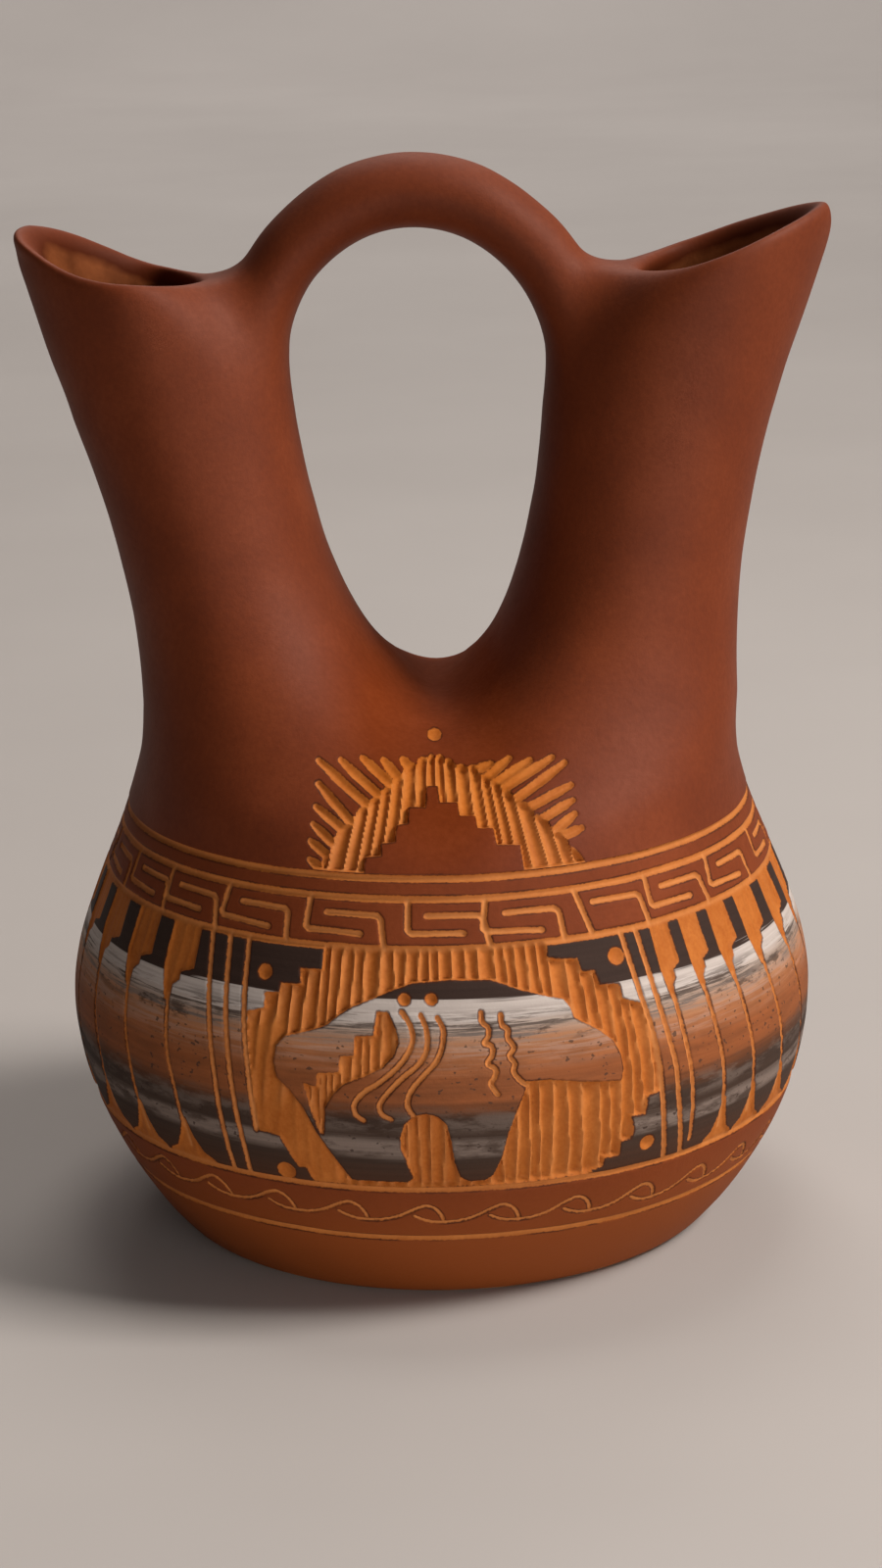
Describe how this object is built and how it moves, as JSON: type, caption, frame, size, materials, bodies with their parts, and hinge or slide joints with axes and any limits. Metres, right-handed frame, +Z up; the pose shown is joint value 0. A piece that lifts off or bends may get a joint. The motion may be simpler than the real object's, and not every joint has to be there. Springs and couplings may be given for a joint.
{
  "type": "wedding vase",
  "caption": "Round-bellied clay vase whose neck divides into two spouts with pointed lips under one bridge handle, with sgraffito carving through bands of coloured slip.",
  "frame": {"origin": "centre of the flat underside of the foot", "axes": "+Z up; +X towards the right spout as seen in the picture; the carved front faces -Y"},
  "size_m": [0.1456, 0.1386, 0.1977],
  "materials": {
    "foot_clay": "matte slip on fired earthenware",
    "belly_slip": "matte slip on fired earthenware",
    "shoulder_slip": "matte slip on fired earthenware",
    "left_slip": "matte slip on fired earthenware",
    "right_slip": "matte slip on fired earthenware",
    "handle_slip": "matte slip on fired earthenware"
  },
  "bodies": {
    "root": {"foot_dish": "foot_clay", "belly_wall": "belly_slip", "saddle_shoulder": "shoulder_slip", "left_spout": "left_slip", "right_spout": "right_slip", "bridge_handle": "handle_slip"}
  },
  "joints": []
}
